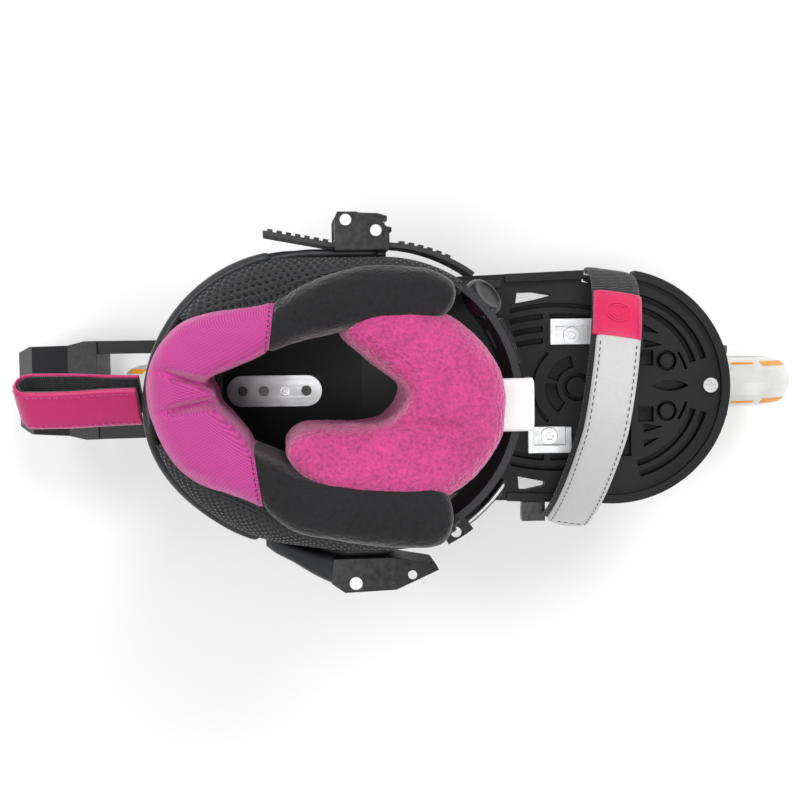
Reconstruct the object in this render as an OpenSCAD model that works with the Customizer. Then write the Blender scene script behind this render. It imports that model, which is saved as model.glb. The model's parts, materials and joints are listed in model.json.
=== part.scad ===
/* [Wheels] */
// Wheel diameter
wheel_d = 84; // [82:1:84]
// Wheel width
wheel_w = 24; // [22:1:24]
// Distance between neighbouring axles
wheel_pitch = 86; // [86:1:88]
// Forward position of the front axle
front_axle_x = 155.7; // [154:0.1:157]

/* [Base] */
// Radius of the toe end of the sole plate
toe_r = 55; // [53:1:56]
// Forward position of the toe radius
toe_x = 98; // [96:1:99]
// Radius of the heel end of the sole plate
heel_r = 50; // [49:1:50]
// Forward position of the heel radius
heel_x = -42; // [-44:1:-41]
// Thickness of the sole plate
sole_t = 10; // [9:1:11]
// Wall thickness of the heel cup
cup_wall = 3.5; // [3:0.5:4]
// Depth of the recesses moulded in the toe platform
recess_depth = 6; // [4:1:7]

/* [Heel plate] */
// Length of the heel plate
heel_plate_l = 44.5; // [43:0.5:46]
// Width of the heel plate
heel_plate_w = 14.6; // [13:0.2:16]
// Pitch of the four size holes
hole_pitch = 10; // [9.5:0.1:10.4]
// Radius of each size hole
hole_r = 2.4; // [2:0.1:2.6]

/* [Cuff] */
// Forward lean of the cuff in degrees
lean = 5.5; // [4:0.5:7]
// Outer radius of the cuff shell in plan
cuff_r = 56.5; // [56:0.5:57]
// Wall thickness of the cuff shell
cuff_wall = 3.5; // [3:0.5:3.5]
// Forward position of the ankle pivot
ankle_x = -30; // [-31:1:-29]
// Height of the ankle pivot above the ground
ankle_z = 150; // [149:1:152]
// Height of the soft collar above the ankle pivot
collar_h = 107; // [103:1:110]

/* [Toe strap] */
// Width of the toe strap
strap_w = 21.5; // [20:0.5:23]
// Radius of the strap's arch over the foot
arch_r = 54; // [53:0.5:54]
// Angle of the strap across the foot
strap_skew = 8.6; // [7:0.1:9]
// Forward position of the strap's middle
strap_x = 88.5; // [88:0.5:90]

/* [Brake] */
// Rear end of the brake housing
brake_end_x = -197.7; // [-198:0.1:-195]
// Outer width of the brake arms
brake_w = 49; // [48:0.5:50]

/* [Hidden] */
$fn = 96;

// Heights of the chassis and the base
axle_z = wheel_d / 2;
frame_top = wheel_d + 7;
bridge_t = 4;
sole_top = frame_top + sole_t;
lip_h = 3;
bed_t = 2;

// Stack across one wheel, measured from its middle
spacer_half = 5;
bearing_w = 7;
bearing_r = 11;
ring_r = 6;
shaft_r = 4;
thread_r = 2.5;
seat_half = spacer_half + bearing_w;
rail_in = seat_half + 2;
rail_t = 4;
rail_out = rail_in + rail_t;
arm_out = brake_w / 2;
rail_ring_r = 11;
head_r = 6.5;
head_t = 3;
wheel_x = [for (i = [0:3]) front_axle_x - i * wheel_pitch];
gap_x = [for (i = [0:2]) front_axle_x - (i + 0.5) * wheel_pitch];
tyre_in_r = 28;
crown_r = 30;
run_gap = 0.05;

// Brake bolt, from the pad's recess to the well on top
brake_bolt_x = -176;
brake_bolt_r = 3;
brake_seat_z = 20;
brake_well_z = 58;

// Heel plate and front bolts
plate_x = -60.5;
bolt_hole = 2;
hole_x = [for (i = [0:3]) plate_x + (i - 1.5) * hole_pitch];
slot_half = 3.2;
nut_drop = 19.4;
nut_h = 3.4;
bracket_l = 20;
bracket_w = 12;
bracket_h = 6;
bracket_wall = 3.5;
brackets = [[78.7, 26, 1], [68, -24.5, -1]];

// Toe platform
toe_screw_x = 144.2;
screw_r = 1.7;
boss = [123.7, 11.8];
well_x = 81.5;

// Cuff plan: two round ends with flats between, in the cuff's own leaned frame
cuff_rear = -16.3;
cuff_front = 14;
shell_in = cuff_r - cuff_wall;
mesh_out = shell_in - 0.2;
mesh_in = mesh_out - 3.3;
fleece_out = mesh_in - 0.2;
fleece_in = 39.5;
pivot_r = 4;
pivot_flange_r = 9;
pad_front = -25;
shell_front = 18;
shell_top = 80;
shell_rear_top = 84;

tab_r = 60.7;

// Buckle on the left of the cuff
buckle_mid = 75;
ear_gap = 22;
ear_t = 2;
strap_face = 57.8;
strap_t = 1.8;
tooth_h = 1;
tooth_pitch = 3.45;
tail_end = -29;
tail_start = -4;
tail_slope = 10.4;
lever_pin = [1, 67.4];
pawl_pin = [12, 63.5];
pin_r = 1.5;
rivet_r = 2.1;

// Buckle on the right of the instep
instep_mid = 46;
instep_r = 60;
instep_pin_a = -60;

// Toe strap
arch_z = sole_top - 1;
bar_y = arch_r - 2;
bar_z = arch_z - 2;
eye_r = 3.2;
arch_turn = 120;
tail_r = 90;
tail_turn = 35;
webbing_t = 1.4;
leather_t = 1.6;
leather_a = 64;
patch_a = 40;

// The bracket's bolt stands in the middle of the floor beside its side wall
function bolt_y(b) = b[1] - b[2] * bracket_wall / 2;

module axis_y(x, z) {
    translate([x, 0, z]) rotate([-90, 0, 0]) children();
}

module side_plate(y0, y1) {
    translate([0, y1, 0]) rotate([90, 0, 0]) linear_extrude(y1 - y0) children();
}

module both_sides() {
    children();
    mirror([0, 1, 0]) children();
}

module tube(r_out, r_in, h) {
    linear_extrude(h) difference() {
        circle(r_out);
        circle(r_in);
    }
}

module arc_block(r_in, r_out, a0, a1, h) {
    rotate([0, 0, a0]) rotate_extrude(angle = a1 - a0) translate([r_in, 0]) square([r_out - r_in, h]);
}

module on_cuff() {
    translate([ankle_x, 0, ankle_z]) rotate([0, lean, 0]) children();
}

module on_front_arc(w) {
    on_cuff() translate([cuff_front, 0, w]) children();
}

module on_toe() {
    translate([strap_x, 0, 0]) rotate([0, 0, -strap_skew]) children();
}

// Outlines

module sole_outline(d = 0) {
    translate([toe_x, 0]) circle(toe_r - d);
    translate([heel_x, 0]) circle(heel_r - d);
    polygon([[toe_x, toe_r - d], [toe_x, d - toe_r], [heel_x, d - heel_r], [heel_x, heel_r - d]]);
}

module cup_plan(r) {
    translate([heel_x, 0]) circle(r);
    translate([heel_x, -r]) square([46 - heel_x, 2 * r]);
}

module cuff_plan(r) {
    translate([cuff_rear, 0]) circle(r);
    translate([cuff_front, 0]) circle(r);
    translate([cuff_rear, -r]) square([cuff_front - cuff_rear, 2 * r]);
}

module cuff_tube(r_out, r_in, w0, w1) {
    translate([0, 0, w0]) linear_extrude(w1 - w0) difference() {
        cuff_plan(r_out);
        cuff_plan(r_in);
    }
}

module keep_u(u0, u1) {
    intersection() {
        children();
        translate([u0, -80, -40]) cube([u1 - u0, 160, 180]);
    }
}

// Base

module arc_slot(c, r, w, a0, a1) {
    translate([c[0], c[1], 0]) arc_block(r - w / 2, r + w / 2, a0, a1, recess_depth + 1);
}

module toe_recesses() {
    rib_r = 90;
    for (r = [37.8, 43], s = [17, -75]) arc_slot([toe_x + 2, 0], r, 2.8, s, s + 58);
    both_sides() {
        arc_slot([72, 38.5 - rib_r], rib_r, 2, 78, 104);
        arc_slot([72, 33.4 - rib_r], rib_r, 2.6, 94, 104);
        arc_slot([72, 33.4 - rib_r], rib_r, 2.2, 78, 92);
        translate([113, 22.3, 0]) linear_extrude(recess_depth + 1)
            polygon([[0, 3.4], [0, 6.6], [7.4, 2.2]]);
        translate([113, 17.8, 0]) linear_extrude(recess_depth + 1)
            polygon([[0, 0], [0, 4.2], [9, 1.4]]);
        translate([110.4, 9.6, 0]) cube([7.2, 7.2, recess_depth + 1]);
        translate([98, 18, 0]) cube([9, 15, recess_depth + 1]);
        arc_slot([boss[0], boss[1]], 4, 1.6, 0, 360);
        arc_slot([106, 0], 28, 1.2, 16, 34);
    }
    for (y = [27.5, 22]) arc_slot([72, y - rib_r], rib_r, 2.6, 94, 103);
    for (y = [27.5, 22]) arc_slot([72, rib_r - y], rib_r, 2.6, -82, -72);
    for (a = [100, 172]) arc_slot([well_x, 0], 12, 5.6, a, a + 62);
    arc_slot([well_x, 0], 21, 1.6, 130, 230);
    arc_slot([well_x, 0], 5.6, 2, 0, 360);
}

module toe_windows() {
    translate([53, 44.6, -1]) linear_extrude(40)
        polygon([[0, -5], [0.6, 0], [8, 0.2], [17, -1.4], [9, -3.4]]);
    translate([53.4, -42, -1]) linear_extrude(40)
        polygon([[0, 0], [0.4, -6.8], [4, -7], [12.6, -5.2], [13, -2.6]]);
    translate([125.4, 0, -1]) linear_extrude(40) intersection() {
        translate([0, 14]) circle(16.5);
        translate([0, -14]) circle(16.5);
    }
}

module strap_notch() {
    on_toe() translate([-strap_w / 2 - 1, bar_y - 4, frame_top - 1]) cube([strap_w + 2, 20, 30]);
}

module sole_plate() {
    color("dimgray") difference() {
        union() {
            translate([0, 0, frame_top]) linear_extrude(sole_t) sole_outline();
            translate([0, 0, sole_top]) linear_extrude(lip_h) difference() {
                sole_outline();
                sole_outline(4);
                translate([-120, -80]) square([168, 160]);
            }
        }
        translate([0, 0, sole_top - recess_depth]) toe_recesses();
        translate([0, 0, frame_top]) toe_windows();
        strap_notch();
        on_toe() translate([0, bar_y, bar_z]) rotate([0, 90, 0]) cylinder(r = pin_r, h = 60, center = true);
        bolt_slots();
        translate([toe_screw_x, 0, frame_top + 2]) cylinder(r = screw_r, h = 40);
    }
    color("dimgray") both_sides() translate([boss[0], boss[1], sole_top - recess_depth])
        cylinder(r = 3.2, h = recess_depth + 1);
}

// Clear way through the sole and the frame for the heel bolt and the two bracket bolts
module bolt_slots() {
    translate([hole_x[0] - slot_half, -slot_half, frame_top - 10])
        cube([hole_x[3] - hole_x[0] + 2 * slot_half, 2 * slot_half, 40]);
    for (b = brackets) translate([b[0], bolt_y(b), frame_top - 10]) cylinder(r = 2.5, h = 40);
}

module cup_side() {
    translate([ankle_x, ankle_z]) circle(12);
    polygon([[-100, sole_top], [45, sole_top], [45, 114], [24, 124], [0, 141], [-18, 152],
             [-42, 152], [-62, 143], [-100, 138]]);
}

module heel_cup() {
    color("dimgray") difference() {
        intersection() {
            translate([0, 0, sole_top]) linear_extrude(80) difference() {
                cup_plan(heel_r);
                cup_plan(heel_r - cup_wall);
            }
            side_plate(-60, 60) cup_side();
        }
        axis_y(ankle_x, ankle_z) cylinder(r = pivot_r, h = 140, center = true);
        for (x = [-70, 12]) axis_y(x, 118) cylinder(r = 3, h = 140, center = true);
        translate([heel_x - heel_r, 0, 122]) rotate([0, 90, 0]) cylinder(r = 4, h = 20, center = true);
    }
}

module cup_lining() {
    lining_out = heel_r - cup_wall - 0.2;
    color("black") intersection() {
        translate([0, 0, sole_top + bed_t + 0.2]) linear_extrude(40) difference() {
            cup_plan(lining_out);
            cup_plan(lining_out - 4);
            translate([30, -60]) square([40, 120]);
        }
        side_plate(-60, 60) polygon([[-100, 90], [36, 90], [20, 120], [-10, 138], [-50, 138], [-100, 134]]);
    }
}

module foot_bed() {
    color("black") translate([0, 0, sole_top]) linear_extrude(bed_t) difference() {
        translate([heel_x, 0]) circle(heel_r - cup_wall - 0.2);
        translate([-20, -60]) square([100, 120]);
        translate([plate_x - heel_plate_l / 2 - 0.3, -heel_plate_w / 2 - 0.3])
            square([heel_plate_l + 0.6, heel_plate_w + 0.6]);
    }
}

module heel_plate() {
    end_r = heel_plate_w / 2;
    end_x = heel_plate_l / 2 - end_r;
    color("silver") difference() {
        translate([plate_x, 0, sole_top]) union() {
            for (s = [-1, 1]) translate([s * end_x, 0, 0]) cylinder(r = end_r, h = bed_t);
            translate([-end_x, -end_r, 0]) cube([2 * end_x, heel_plate_w, bed_t]);
        }
        for (x = hole_x) translate([x, 0, sole_top - 1]) cylinder(r = hole_r, h = 5);
    }
}

// Threaded into the heel plate from below, with its socket end flush in the hole
module heel_bolt() {
    color("silver") translate([hole_x[bolt_hole], 0, sole_top + bed_t]) difference() {
        union() {
            translate([0, 0, -nut_drop - 0.6]) cylinder(r = hole_r, h = nut_drop + 0.4);
            translate([0, 0, -nut_drop]) cylinder(r = 4.4, h = nut_h, $fn = 6);
        }
        translate([0, 0, -1.8]) cylinder(r = 1.3, h = 3, $fn = 6);
    }
}

module bracket(b) {
    end_wall = 2.5;
    color("silver") translate([b[0], b[1], sole_top]) difference() {
        union() {
            translate([-bracket_l / 2, -bracket_w / 2, 0]) cube([bracket_l, bracket_w, bed_t]);
            translate([-bracket_l / 2, b[2] * (bracket_w - bracket_wall) / 2 - bracket_wall / 2, 0])
                cube([bracket_l, bracket_wall, bracket_h]);
            for (x = [-bracket_l / 2, bracket_l / 2 - end_wall]) translate([x, -bracket_w / 2, 0])
                cube([end_wall, bracket_w, bracket_h]);
        }
        translate([0, bolt_y(b) - b[1], -1]) cylinder(r = 2.5, h = 4);
    }
}

module bracket_bolt() {
    head = 2.6;
    difference() {
        union() {
            cylinder(r = 3.8, h = head);
            translate([0, 0, -nut_drop - 0.6]) cylinder(r = hole_r, h = nut_drop + 0.6);
            translate([0, 0, -nut_drop]) cylinder(r = 3.8, h = nut_h, $fn = 6);
        }
        translate([0, 0, head - 2]) cylinder(r = 1.9, h = 3, $fn = 6);
    }
}

module left_bracket() {
    bracket(brackets[0]);
}

module right_bracket() {
    bracket(brackets[1]);
}

module bracket_bolts() {
    color("silver") for (b = brackets) translate([b[0], bolt_y(b), sole_top + bed_t])
        bracket_bolt();
}

module toe_screw() {
    color("silver") translate([toe_screw_x, 0, sole_top]) difference() {
        union() {
            cylinder(r = 3.5, h = 1.6);
            translate([0, 0, -7]) cylinder(r = screw_r, h = 7);
        }
        for (a = [0, 90]) rotate([0, 0, a]) translate([-2.2, -0.5, 0.8]) cube([4.4, 1, 2]);
    }
}

// Chassis

module rail_outline() {
    difference() {
        union() {
            for (x = wheel_x) translate([x, axle_z]) circle(rail_ring_r);
            polygon([[wheel_x[3] - 10, 47], [wheel_x[3] + 3, 78], [wheel_x[3] + 8, frame_top],
                     [wheel_x[0] - 18, frame_top], [wheel_x[0] - 8, 76], [wheel_x[0] + 9, 48],
                     [wheel_x[0], 31], [wheel_x[3], 31]]);
        }
        for (x = gap_x) translate([x, 8]) circle(34);
        for (x = gap_x) translate([x, 66]) circle(10);
        for (x = [wheel_x[1], wheel_x[2]]) translate([x, 71]) circle(5);
        for (x = wheel_x) translate([x, axle_z]) circle(shaft_r);
    }
}

module frame_rails() {
    color("dimgray") difference() {
        union() {
            both_sides() side_plate(rail_in, rail_out) rail_outline();
            both_sides() for (x = wheel_x) axis_y(x, axle_z)
                translate([0, 0, seat_half]) tube(ring_r, shaft_r, 2);
            translate([-90, -rail_in - 1, frame_top - bridge_t]) cube([56, 2 * rail_in + 2, bridge_t]);
            translate([52, -34, frame_top - bridge_t]) cube([44, 68, bridge_t]);
            translate([110, -rail_in - 1, frame_top - bridge_t]) cube([24, 2 * rail_in + 2, bridge_t]);
        }
        bolt_slots();
    }
}

function side_y(i) = i == 3 ? arm_out : rail_out;

module axle_bolts() {
    color("silver") for (i = [0:3]) axis_y(wheel_x[i], axle_z) difference() {
        union() {
            translate([0, 0, -side_y(i) - head_t]) cylinder(r = head_r, h = head_t);
            translate([0, 0, -side_y(i)]) cylinder(r = shaft_r, h = 2 * side_y(i) - 2);
        }
        translate([0, 0, side_y(i) - 17]) cylinder(r = thread_r, h = 20);
        translate([0, 0, -side_y(i) - head_t - 1]) cylinder(r = 2.9, h = 3, $fn = 6);
    }
}

module axle_screws() {
    color("silver") for (i = [0:3]) axis_y(wheel_x[i], axle_z) difference() {
        union() {
            translate([0, 0, side_y(i)]) cylinder(r = head_r, h = head_t);
            translate([0, 0, side_y(i) - 14]) cylinder(r = thread_r, h = 14);
        }
        translate([0, 0, side_y(i) + 1]) cylinder(r = 2.9, h = 3, $fn = 6);
    }
}

module bearing_inner_rings() {
    color("silver") for (x = wheel_x) axis_y(x, axle_z) for (z = [-seat_half, spacer_half])
        translate([0, 0, z]) tube(ring_r, shaft_r, bearing_w);
}

module bearing_spacers() {
    color("silver") for (x = wheel_x) axis_y(x, axle_z) translate([0, 0, -spacer_half])
        tube(ring_r, shaft_r, 2 * spacer_half);
}

// Wheels

module tyre(i) {
    color("whitesmoke") axis_y(wheel_x[i], axle_z) rotate_extrude() polygon(concat(
        [[tyre_in_r, -9]],
        [for (a = [-90:15:90]) [crown_r + (wheel_d / 2 - crown_r) * cos(a), wheel_w / 2 * sin(a)]],
        [[tyre_in_r, 9]]));
}

module hub(i) {
    color("whitesmoke") axis_y(wheel_x[i], axle_z) difference() {
        union() {
            translate([0, 0, -9]) tube(tyre_in_r, 24.5, 18);
            translate([0, 0, -seat_half + 0.5]) cylinder(r = 14.5, h = 2 * seat_half - 1);
            for (k = [0:5]) rotate([0, 0, 60 * k]) translate([13, -3.5, -7]) cube([12.5, 7, 14]);
        }
        translate([0, 0, spacer_half]) cylinder(r = bearing_r, h = 20);
        translate([0, 0, -20 - spacer_half]) cylinder(r = bearing_r, h = 20);
        cylinder(r = 8, h = 40, center = true);
    }
}

module bearings(i) {
    seal_r = ring_r + run_gap;
    race_r = 9.5;
    balls = 7;
    half = bearing_w / 2;
    color("silver") axis_y(wheel_x[i], axle_z)
        for (z = [-1, 1]) translate([0, 0, z * (spacer_half + half)]) {
            rotate_extrude() polygon([[seal_r, -half], [bearing_r, -half], [bearing_r, half], [seal_r, half],
                                      [seal_r, half - 0.5], [race_r, half - 0.5],
                                      [race_r, 0.5 - half], [seal_r, 0.5 - half]]);
            for (k = [1:balls]) rotate([0, 0, k * 360 / balls]) translate([(seal_r + race_r) / 2, 0, 0])
                sphere(r = 1.5, $fn = 24);
        }
}

// Brake

module brake_housing() {
    color("dimgray") difference() {
        union() {
            intersection() {
                side_plate(-30, 30) polygon([[-152, 66], [-166, 68], [-186, 60], [brake_end_x, 42],
                                             [brake_end_x, 34], [-190, 28], [-160, 28], [-152, 36]]);
                translate([0, 0, 20]) linear_extrude(60) polygon([
                    [-150, arm_out], [-158, arm_out], [-166, 22.4], [-188, 22], [brake_end_x, 19],
                    [brake_end_x, -19], [-188, -22], [-166, -22.4], [-158, -arm_out], [-150, -arm_out]]);
            }
            both_sides() side_plate(rail_out, arm_out) union() {
                translate([wheel_x[3], axle_z]) circle(rail_ring_r);
                polygon([[wheel_x[3], 53], [wheel_x[3], 31], [-153, 36], [-153, 64]]);
            }
        }
        axis_y(wheel_x[3], axle_z) cylinder(r = shaft_r, h = 80, center = true);
        translate([brake_bolt_x, 0, brake_well_z]) cylinder(r = 7, h = 40);
        translate([brake_bolt_x, 0, 0]) cylinder(r = brake_bolt_r, h = 80);
        both_sides() translate([-142, 0, 50]) rotate([-90, 0, 0]) cylinder(r = 5, h = 60);
    }
}

module brake_pad() {
    color("black") difference() {
        intersection() {
            side_plate(-17, 17) polygon([[-162, 28], [-190, 28], [-194, 22], [-184, 10], [-160, 14]]);
            translate([-178, 0, 0]) cylinder(r = 24, h = 60);
        }
        translate([brake_bolt_x, 0, 0]) cylinder(r = brake_bolt_r, h = 80);
        translate([brake_bolt_x, 0, -1]) cylinder(r = 6.5, h = brake_seat_z + 1);
    }
}

module brake_bolt() {
    color("silver") translate([brake_bolt_x, 0, 0]) {
        translate([0, 0, brake_seat_z - 4]) cylinder(r = 5.5, h = 4);
        translate([0, 0, brake_seat_z]) cylinder(r = brake_bolt_r, h = brake_well_z - brake_seat_z + 5.5);
        translate([0, 0, brake_well_z]) difference() {
            cylinder(r = 5.5, h = 4, $fn = 6);
            cylinder(r = brake_bolt_r, h = 4);
        }
    }
}

// Cuff

module ankle_pivots() {
    color("silver") both_sides() axis_y(ankle_x, ankle_z) {
        translate([0, 0, heel_r - cup_wall - 2]) cylinder(r = 7, h = 2);
        translate([0, 0, heel_r - cup_wall]) cylinder(r = pivot_r, h = cuff_r - heel_r + cup_wall + 0.3);
        translate([0, 0, heel_r]) cylinder(r = pivot_flange_r, h = shell_in - heel_r - 0.1);
        translate([0, 0, cuff_r + 0.3]) cylinder(r = pivot_flange_r, h = 2.2);
    }
}

module shell_side() {
    circle(14);
    polygon([[-80, -2], [-48, -8], [-12, -13], [10, -10], [shell_front, 4], [shell_front, shell_top - 4],
             [10, shell_top], [-28, shell_top - 4], [-46, shell_rear_top], [-80, shell_rear_top]]);
}

module cuff_shell() {
    color("dimgray") on_cuff() difference() {
        intersection() {
            cuff_tube(cuff_r, shell_in, -20, 90);
            side_plate(-60, 60) shell_side();
        }
        rotate([90, 0, 0]) cylinder(r = pivot_r + run_gap, h = 160, center = true);
        for (u = [-40, -28]) translate([u, 0, 42]) rotate([90, 0, 0]) cylinder(r = 4, h = 160, center = true);
        for (u = [-40, -28]) translate([u - 4, -80, 24]) cube([8, 160, 18]);
    }
}

module mesh_panel() {
    color("black") on_cuff() keep_u(pad_front + 0.4, 33) cuff_tube(mesh_out, mesh_in, 28, collar_h - 6);
}

module fleece_collar() {
    color("black") on_cuff() keep_u(pad_front + 0.4, 33) cuff_tube(fleece_out, fleece_in, 24, collar_h);
}

module heel_pad() {
    color("mediumvioletred") on_cuff() keep_u(-90, pad_front) {
        union() {
            cuff_tube(shell_in - 0.5, 32, 24, shell_rear_top + 0.5);
            cuff_tube(cuff_r - 0.5, 32, shell_rear_top + 0.5, collar_h + 2);
        }
    }
}

module front_pad() {
    color("mediumvioletred") on_cuff() translate([0, 0, 40]) linear_extrude(collar_h - 41) {
        difference() {
            translate([22.4, 1.5]) circle(35);
            polygon([[-20, 40], [-2, 27], [24.6, 6.2], [18.9, -6.3], [1, -9], [-20, -9]]);
        }
        translate([-9, -21.5]) circle(12.5);
        translate([-9, -34]) square([24, 25]);
    }
}

module pull_loop() {
    loop_w = 18;
    loop_l = 45.5;
    half_gap = 5;
    color("mediumvioletred") translate([-142.9, 2.6, 232.4]) rotate([-50, 0, 0])
        translate([0, 0, -loop_w / 2]) linear_extrude(loop_w) difference() {
            union() {
                translate([half_gap + 1, 0]) circle(half_gap + 1);
                translate([half_gap + 1, -half_gap - 1]) square([loop_l - half_gap - 1, 2 * half_gap + 2]);
            }
            translate([half_gap + 1, 0]) circle(half_gap - 1);
            translate([half_gap + 1, 1 - half_gap]) square([loop_l - half_gap - 3, 2 * half_gap - 2]);
        }
}

module front_guard() {
    color("dimgray") on_front_arc(34) difference() {
        arc_block(53, 56, -83, 62, 32);
        for (a = [-22, 26]) rotate([0, 0, a]) translate([50, -4, 8]) cube([10, 8, 5]);
    }
}

module leaf_plate() {
    color("black") on_front_arc(50) difference() {
        arc_block(56.1, 57.6, 14, 33, 16);
        rotate([0, 0, 23]) translate([50, -5, 6]) cube([10, 10, 3]);
    }
}

module strap_knob() {
    color("black") on_front_arc(58) rotate([0, 0, 43]) translate([56.2, 0, 0]) rotate([0, 90, 0]) {
        cylinder(r = 8.4, h = 3);
        translate([0, 0, 3]) cylinder(r = 7, h = 3);
    }
}

module front_tab() {
    color("white") on_front_arc(48) union() {
        arc_block(57, tab_r, -13, 9, 18.4);
        translate([0, 0, 18.3]) arc_block(47, tab_r, -13, 9, 2);
    }
}

module strap_anchor() {
    color("dimgray") on_cuff() translate([0, 0, buckle_mid - 11]) linear_extrude(22) difference() {
        polygon([[-5, -57], [17, -57], [33, -60], [34, -62], [18, -69], [-1, -69.6], [-6, -66]]);
        translate([3, -66]) circle(pin_r + 0.9);
        translate([24, -63.4]) circle(pin_r + 0.2);
    }
}

module anchor_screws() {
    color("silver") on_cuff() {
        translate([3, -66, buckle_mid - 9]) cylinder(r = pin_r + 0.9, h = 21);
        translate([24, -63.4, buckle_mid - 9]) cylinder(r = pin_r + 0.2, h = 21);
    }
}

function strap_line(r) = concat(
    [[tail_end, r + (tail_start - tail_end) * tan(tail_slope)], [tail_start, r]],
    [for (a = [90:-4:54]) turn_pt([cuff_front, 0], r, a)]);

module tooth() {
    translate([0, strap_face + strap_t - 0.3, 2]) cube([2, tooth_h + 0.3, 12]);
}

module ladder_strap() {
    color("black") on_cuff() translate([0, 0, buckle_mid - 8]) union() {
        linear_extrude(16)
            polygon(concat(strap_line(strap_face + strap_t), back_to_front(strap_line(strap_face))));
        for (k = [0:3]) translate([tail_start + 1 + k * tooth_pitch, 0, 0]) tooth();
        translate([tail_start, strap_face, 0]) rotate([0, 0, -tail_slope]) translate([0, -strap_face, 0])
            for (k = [1:7]) translate([-k * tooth_pitch, 0, 0]) tooth();
        translate([cuff_front, 0, 0]) for (k = [0:5]) rotate([0, 0, -7 - k * 3.4]) tooth();
    }
}

module buckle_base() {
    color("dimgray") on_cuff() difference() {
        union() {
            translate([-3, cuff_r, buckle_mid - ear_gap / 2 - ear_t]) cube([20, 1, ear_gap + 2 * ear_t]);
            for (w = [-ear_gap / 2 - ear_t, ear_gap / 2]) translate([0, 0, buckle_mid + w])
                linear_extrude(ear_t) polygon([
                    [-3, cuff_r], [17, cuff_r], [17, 64], [14, 67], [5, 70.4], [-2, 70.4], [-3, 68]]);
        }
        for (p = [lever_pin, pawl_pin]) translate([p[0], p[1], buckle_mid - 20]) cylinder(r = pin_r, h = 40);
    }
}

module buckle_pins() {
    half = ear_gap / 2 + ear_t;
    color("silver") on_cuff() for (p = [lever_pin, pawl_pin]) translate([p[0], p[1], buckle_mid]) {
        cylinder(r = pin_r, h = 2 * half, center = true);
        for (w = [-half - 0.8, half]) translate([0, 0, w]) cylinder(r = rivet_r, h = 0.8);
    }
}

module buckle_lever() {
    lever_w = ear_gap - 0.8;
    color("black") on_cuff() translate([lever_pin[0], lever_pin[1], buckle_mid - lever_w / 2])
        linear_extrude(lever_w) difference() {
            union() {
                circle(3);
                polygon([[0, 0.4], [13, -0.6], [15.4, -0.2], [15.4, 1.6], [12, 2.6], [0, 3]]);
            }
            circle(pin_r + run_gap);
        }
}

module ratchet_pawl() {
    pawl_w = ear_gap - 0.8;
    color("black") on_cuff() translate([pawl_pin[0], pawl_pin[1], buckle_mid - pawl_w / 2])
        linear_extrude(pawl_w) difference() {
            union() {
                circle(2.3);
                polygon([[0, 2.3], [6, 1.4], [6, -0.2], [3.4, -2.3], [1.2, -2.2], [0, -2.3]]);
            }
            circle(pin_r + run_gap);
        }
}

module instep_buckle_base() {
    color("dimgray") on_front_arc(instep_mid - 14) difference() {
        union() {
            arc_block(56.1, 57.1, -66, -32, 28);
            for (w = [0, 26]) translate([0, 0, w]) arc_block(56.6, 63, -64.5, -54, 2);
        }
        rotate([0, 0, instep_pin_a]) translate([instep_r, 0, -1]) cylinder(r = pin_r, h = 40);
    }
}

module instep_pin() {
    color("silver") on_front_arc(instep_mid - 14) rotate([0, 0, instep_pin_a]) translate([instep_r, 0, 0]) {
        cylinder(r = pin_r, h = 28);
        translate([0, 0, 28]) cylinder(r = rivet_r, h = 0.8);
    }
}

module instep_lever() {
    color("black") on_front_arc(instep_mid - 11.6) difference() {
        union() {
            arc_block(59.2, 61.2, -60, -33, 23.2);
            rotate([0, 0, instep_pin_a]) translate([instep_r, 0, 0]) cylinder(r = 2.5, h = 23.2);
        }
        rotate([0, 0, instep_pin_a]) translate([instep_r, 0, -1]) cylinder(r = pin_r + run_gap, h = 40);
    }
}

// Toe strap

module strap_bar() {
    color("silver") on_toe() translate([0, bar_y, bar_z]) rotate([0, 90, 0])
        cylinder(r = pin_r, h = strap_w + 8, center = true);
}

module strap_keeper() {
    color("dimgray") difference() {
        translate([55, -63, frame_top + 3]) cube([11, 9, 8]);
        translate([54, -61, frame_top + 5]) cube([13, 4.6, 4]);
        linear_extrude(200) sole_outline();
    }
}

function turn_pt(c, r, a) = [c[0] + r * cos(a), c[1] + r * sin(a)];

tail_centre = turn_pt([0, arch_z], arch_r - tail_r, arch_turn);

function arch_line(d, a0) = concat(
    [for (a = [a0:4:arch_turn]) turn_pt([0, arch_z], arch_r + d, a)],
    [for (a = [5:5:tail_turn]) turn_pt(tail_centre, tail_r + d, arch_turn + a)]);

function back_to_front(p) = [for (i = [len(p) - 1:-1:0]) p[i]];

module strap_band(d0, d1, a0) {
    polygon(concat(arch_line(d1, a0), back_to_front(arch_line(d0, a0))));
}

module across_toe() {
    on_toe() rotate([90, 0, 90]) translate([0, 0, -strap_w / 2]) linear_extrude(strap_w) children();
}

module toe_webbing() {
    color("black") across_toe() difference() {
        union() {
            strap_band(-webbing_t / 2, webbing_t / 2, 0);
            translate([bar_y, bar_z]) circle(eye_r);
            translate([arch_r - webbing_t / 2, bar_z]) square([webbing_t, arch_z - bar_z + 0.5]);
        }
        translate([bar_y, bar_z]) circle(pin_r + run_gap);
    }
}

module toe_leather() {
    color("lightgray") across_toe() strap_band(webbing_t / 2, webbing_t / 2 + leather_t, leather_a);
}

module toe_patch() {
    patch_in = arch_r + webbing_t / 2;
    steps = [for (a = [patch_a:4:leather_a]) a];
    color("mediumvioletred") across_toe() polygon(concat(
        [for (a = steps) turn_pt([0, arch_z], patch_in + 2, a)],
        back_to_front([for (a = steps) turn_pt([0, arch_z], patch_in, a)])));
}

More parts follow.
